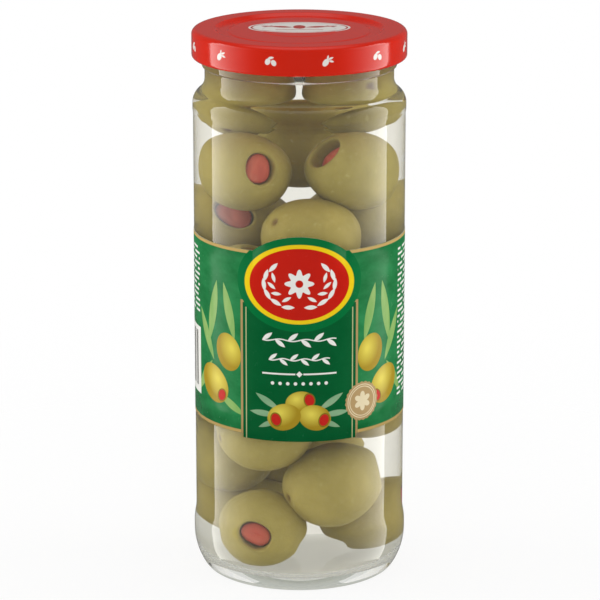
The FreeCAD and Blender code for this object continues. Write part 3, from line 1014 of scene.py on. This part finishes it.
label = wrap_sheet("label_wrap", [wrap_print(), wrap_back()])
places = np.empty(len(label.data.vertices) * 3)
label.data.vertices.foreach_get("co", places)
places = places.reshape(-1, 3) / MM
arc = np.arctan2(places[:, 0], -places[:, 1]) * LABEL_RADIUS
flat = np.column_stack([(arc + 100) / 200, (places[:, 2] - 20) / 100])
corner = np.empty(len(label.data.loops), np.int32)
label.data.loops.foreach_get("vertex_index", corner)
label.data.uv_layers.new(name="print").data.foreach_set("uv", flat[corner].ravel())


# ---------------------------------------------------------------- pieces in the frame

for piece, node, slot in (
    (glass_jar, "glass_jar", "clear_glass"),
    (lid, "lid", "red_enamel"),
    (label, "label", "label_paper"),
    (brine, "brine", "brine"),
    (olives, "olives", "olive_skin"),
):
    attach(piece, "root")
    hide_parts(node)
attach(pimiento, "root")


# ---------------------------------------------------------------- floor, light and camera

FLOOR_REACH = 420.0


def floor_material():
    """White floor that fades into the white surroundings away from the jar."""
    material, paint = new_material("white_floor")
    x, y, _ = paint.place()
    out = ((x * x) + (y * y)) ** 0.5
    white = paint.node("ShaderNodeBsdfDiffuse", (), {0: (0.93, 0.93, 0.93, 1)}).outputs[0]
    glow = paint.node("ShaderNodeEmission", (), {0: (1, 1, 1, 1), 1: 1.0}).outputs[0]
    seen = paint.mix_shader(0.86, white, glow)
    below = paint.mix_shader(0.45, white, glow)
    lit = paint.mix_shader(paint.ray("Is Transmission Ray"), white, below)
    lit = paint.mix_shader(paint.ray("Is Camera Ray"), lit, seen)
    away = paint.node("ShaderNodeBsdfTransparent").outputs[0]
    paint.surface(paint.mix_shader(out.ramp(90, 0.8 * FLOOR_REACH, smooth=True), lit, away))
    return material


FLOOR_ROWS, FLOOR_COLUMNS = 12, 96
reach = np.column_stack([np.linspace(20, FLOOR_REACH, FLOOR_ROWS), np.zeros(FLOOR_ROWS)])
grid = turned_grid(reach, FLOOR_COLUMNS)
j = np.arange(FLOOR_COLUMNS)
k = (j + 1) % FLOOR_COLUMNS
base = 1 + FLOOR_COLUMNS * np.arange(FLOOR_ROWS - 1)[:, None]
beyond = base + FLOOR_COLUMNS
quads = np.stack([base + j, beyond + j, beyond + k, base + k], axis=-1).reshape(-1, 4)
fan = np.stack([np.zeros(FLOOR_COLUMNS, int), 1 + j, 1 + k], axis=-1)
points = np.concatenate([[[0, 0, 0]], grid.reshape(-1, 3)])
floor = new_piece("floor", points, quads, fan, [floor_material()])
floor.location.z = -0.02 * MM
floor.visible_glossy = False

SCREEN_DISTANCE = 1000.0
SCREEN_BACK, SCREEN_FRONT = 108.0, 40.0
SCREEN_LOW, SCREEN_TOP = -650.0, 900.0
SCREEN_COLUMNS, SCREEN_ROWS = 24, 12


def screen_material():
    """A light screen: bright at its back edge, falling off towards the front."""
    material, paint = new_material("light_screen")
    x, y, _ = paint.place()
    turn = abs(x.math("ARCTAN2", 0 - y)) * (180 / math.pi)
    level = turn.ramp(SCREEN_FRONT, SCREEN_BACK) ** 1.9 * 4.4 + 0.15
    emission = paint.node("ShaderNodeEmission", (), {0: (1, 0.99, 0.97, 1), 1: level})
    paint.surface(emission.outputs[0])
    return material


def light_screen(name, side, material):
    """A tall screen bent round the jar: (d sin a, -d cos a, z), facing in."""
    turn = np.radians(side * np.linspace(SCREEN_FRONT, SCREEN_BACK, SCREEN_COLUMNS))[:, None]
    rise = np.linspace(SCREEN_LOW, SCREEN_TOP, SCREEN_ROWS)[None]
    flat = 0 * rise
    points = np.stack(
        [
            SCREEN_DISTANCE * np.sin(turn) + flat,
            -SCREEN_DISTANCE * np.cos(turn) + flat,
            rise + 0 * turn,
        ],
        axis=-1,
    )
    here = np.arange(SCREEN_COLUMNS - 1)[:, None] * SCREEN_ROWS + np.arange(SCREEN_ROWS - 1)
    on = here + SCREEN_ROWS
    quads = np.stack([here, here + 1, on + 1, on], axis=-1).reshape(-1, 4)
    screen = new_piece(name, points.reshape(-1, 3), quads, np.zeros((0, 3), int), [material])
    screen.visible_camera = False
    screen.visible_transmission = False


glow = screen_material()
light_screen("screen_left", -1, glow)
light_screen("screen_right", 1, glow)

scene = bpy.context.scene
world = bpy.data.worlds.new("studio")
world.use_nodes = True
scene.world = world
paint = Paint(world.node_tree)
toward_back = paint.node("ShaderNodeTexCoord").outputs["Generated"]
directions = paint.node("ShaderNodeSeparateXYZ", (), {0: toward_back})
back, up = Wire(paint, directions.outputs[1]), Wire(paint, directions.outputs[2])


def backdrop(level):
    """The world's white at a level."""
    return paint.node("ShaderNodeBackground", (), {0: (1, 1, 1, 1), 1: level}).outputs[0]


soft_light = backdrop(up.ramp(-0.4, 1.0) * 0.15 + 0.9 - back.ramp(-1.0, 1.0) * 0.25)
mirrored = backdrop(back.ramp(-1.0, 1.0) * 0.08 + up.ramp(0.8, 0.95) * 0.9 + 0.08)
through = backdrop(back.ramp(-1.0, 0.1) * 0.35 + 0.65)
lit = paint.mix_shader(paint.ray("Is Glossy Ray"), soft_light, mirrored)
lit = paint.mix_shader(paint.ray("Is Transmission Ray"), lit, through)
lit = paint.mix_shader(paint.ray("Is Camera Ray"), lit, backdrop(1.0))
paint.node("ShaderNodeOutputWorld", (), {0: lit})

ELEVATION = math.radians(15.51)
DISTANCE = 0.9
AIM = 0.080
camera_data = bpy.data.cameras.new("camera")
camera_data.lens = 185.15
camera_data.shift_x = 0.65 / 600
camera = bpy.data.objects.new("camera", camera_data)
camera.location = (0, -DISTANCE * math.cos(ELEVATION), AIM + DISTANCE * math.sin(ELEVATION))
camera.rotation_euler = (math.pi / 2 - ELEVATION, 0, 0)
scene.collection.objects.link(camera)
scene.camera = camera
scene.view_settings.view_transform = "Standard"
